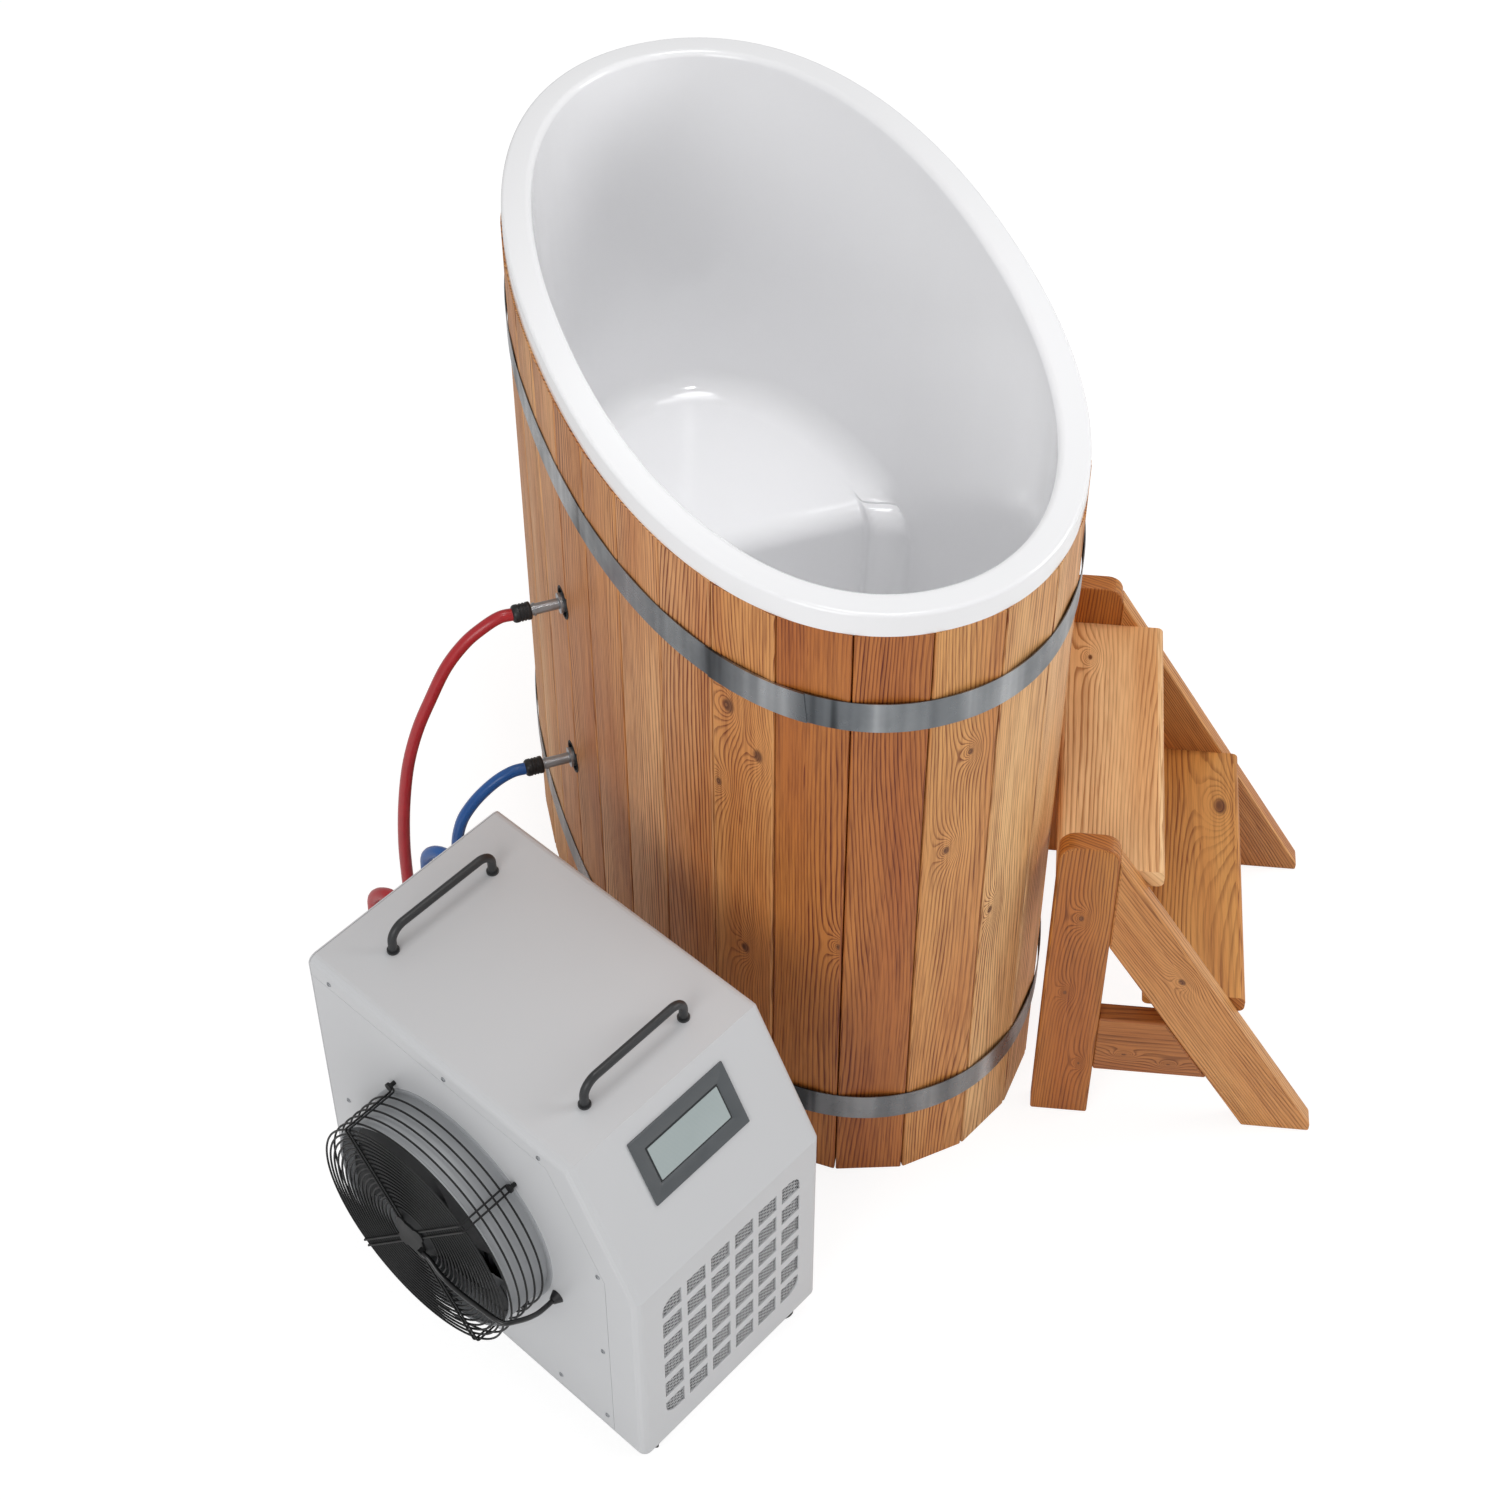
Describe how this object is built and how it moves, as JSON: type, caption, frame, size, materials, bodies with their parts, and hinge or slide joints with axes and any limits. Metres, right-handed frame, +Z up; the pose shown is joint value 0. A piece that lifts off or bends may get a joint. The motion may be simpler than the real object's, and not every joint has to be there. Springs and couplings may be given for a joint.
{
  "type": "cold plunge tub",
  "caption": "Oval timber plunge tub with a moulded liner, two steel hoops, a hose-fed chiller on casters and a two-step stool.",
  "frame": {"origin": "middle of the tub on the floor, at the underside of the middle bearer", "axes": "+Z up; +Y from the tub's foot end towards its seat end; +X across the tub, away from the chiller"},
  "size_m": [1.6113, 1.582, 1.151],
  "materials": {
    "bearer_timber": "planed softwood, treated",
    "plywood": "film-free plywood",
    "stave_timber": "planed and oiled, honey to reddish brown",
    "hoop_steel": "satin, rolled strip",
    "gelcoat": "white gelcoat",
    "stainless": "turned, satin",
    "seal_rubber": "moulded",
    "white_plastic": "moulded",
    "grey_plastic": "moulded",
    "collar_plastic": "moulded, satin",
    "red_hose": "smooth flexible hose",
    "blue_hose": "smooth flexible hose",
    "case_paint": "light grey powder coat",
    "grille_mesh": "dark expanded sheet",
    "bezel_plastic": "dark grey, satin",
    "screen_glass": "liquid crystal panel",
    "handle_plastic": "black, satin",
    "galvanised": "spun galvanised sheet",
    "guard_wire": "black coated wire",
    "motor_paint": "die-cast, grey",
    "blade_plastic": "black, satin",
    "cable_pvc": "black sheath",
    "fin_aluminium": "plain fins",
    "compressor_paint": "black enamel",
    "black_insulation": "foam jacket",
    "black_plastic": "moulded nylon",
    "zinc_steel": "zinc plated",
    "wheel_rubber": "moulded tread",
    "stool_pine": "planed and oiled pine"
  },
  "bodies": {
    "root": {"base_bearers": "bearer_timber", "floor_board": "plywood", "seat_prop": "plywood", "staves_head": "stave_timber", "staves_right": "stave_timber", "staves_foot": "stave_timber", "staves_left": "stave_timber", "hoop_lower": "hoop_steel", "hoop_upper": "hoop_steel", "liner": "gelcoat", "upper_bulkhead": "stainless", "lower_bulkhead": "stainless", "bulkhead_nuts": "stainless", "bulkhead_seals": "seal_rubber", "return_nozzle": "white_plastic", "inlet_strainer": "white_plastic", "drain_waste": "stainless", "drain_cap": "grey_plastic", "hose_collars": "collar_plastic", "red_hose": "red_hose", "blue_hose": "blue_hose", "base_pan": "case_paint", "case_cover": "case_paint", "left_panel": "case_paint", "right_panel": "case_paint", "rear_panel": "case_paint", "grille_mesh": "grille_mesh", "display_bezel": "bezel_plastic", "display_screen": "screen_glass", "front_handle": "handle_plastic", "rear_handle": "handle_plastic", "hose_ports": "stainless", "fan_shroud": "galvanised", "guard_front": "guard_wire", "guard_side": "guard_wire", "fan_motor": "motor_paint", "fan_cable": "cable_pvc", "cable_gland": "collar_plastic", "condenser_coil": "fin_aluminium", "compressor": "compressor_paint", "heat_exchanger": "black_insulation", "water_pipes": "white_plastic", "circulation_pump": "black_plastic", "controller_box": "grey_plastic", "caster_plates": "zinc_steel", "stool_posts": "stool_pine", "stool_struts": "stool_pine", "stool_rails": "stool_pine", "upper_tread": "stool_pine", "lower_tread": "stool_pine", "tread_cleats": "stool_pine"},
    "fan": {"fan_rotor": "blade_plastic"},
    "swivel_1": {"caster_fork_1": "black_plastic"},
    "wheel_1": {"caster_wheel_1": "wheel_rubber"},
    "swivel_2": {"caster_fork_2": "black_plastic"},
    "wheel_2": {"caster_wheel_2": "wheel_rubber"},
    "swivel_3": {"caster_fork_3": "black_plastic"},
    "wheel_3": {"caster_wheel_3": "wheel_rubber"},
    "swivel_4": {"caster_fork_4": "black_plastic"},
    "wheel_4": {"caster_wheel_4": "wheel_rubber"}
  },
  "joints": [
    {"name": "fan_spin", "type": "hinge", "parent": "root", "child": "fan", "pos_m": [-0.67239, -0.67941, 0.34], "axis": [-0.8771, -0.4802, 0], "continuous": true},
    {"name": "caster_swivel_1", "type": "hinge", "parent": "root", "child": "swivel_1", "pos_m": [-0.49503, -0.89925, 0.04], "axis": [0, 0, 1], "continuous": true},
    {"name": "wheel_roll_1", "type": "hinge", "parent": "swivel_1", "child": "wheel_1", "pos_m": [-0.49896, -0.91268, 0.02], "axis": [0.9598, -0.2807, 0], "continuous": true},
    {"name": "caster_swivel_2", "type": "hinge", "parent": "root", "child": "swivel_2", "pos_m": [-0.28452, -0.78399, 0.04], "axis": [0, 0, 1], "continuous": true},
    {"name": "wheel_roll_2", "type": "hinge", "parent": "swivel_2", "child": "wheel_2", "pos_m": [-0.27108, -0.78792, 0.02], "axis": [0.2807, 0.9598, 0], "continuous": true},
    {"name": "caster_swivel_3", "type": "hinge", "parent": "root", "child": "swivel_3", "pos_m": [-0.73274, -0.46506, 0.04], "axis": [0, 0, 1], "continuous": true},
    {"name": "wheel_roll_3", "type": "hinge", "parent": "swivel_3", "child": "wheel_3", "pos_m": [-0.74618, -0.46113, 0.02], "axis": [-0.2807, -0.9598, 0], "continuous": true},
    {"name": "caster_swivel_4", "type": "hinge", "parent": "root", "child": "swivel_4", "pos_m": [-0.52223, -0.34981, 0.04], "axis": [0, 0, 1], "continuous": true},
    {"name": "wheel_roll_4", "type": "hinge", "parent": "swivel_4", "child": "wheel_4", "pos_m": [-0.5183, -0.33637, 0.02], "axis": [-0.9598, 0.2807, 0], "continuous": true}
  ]
}
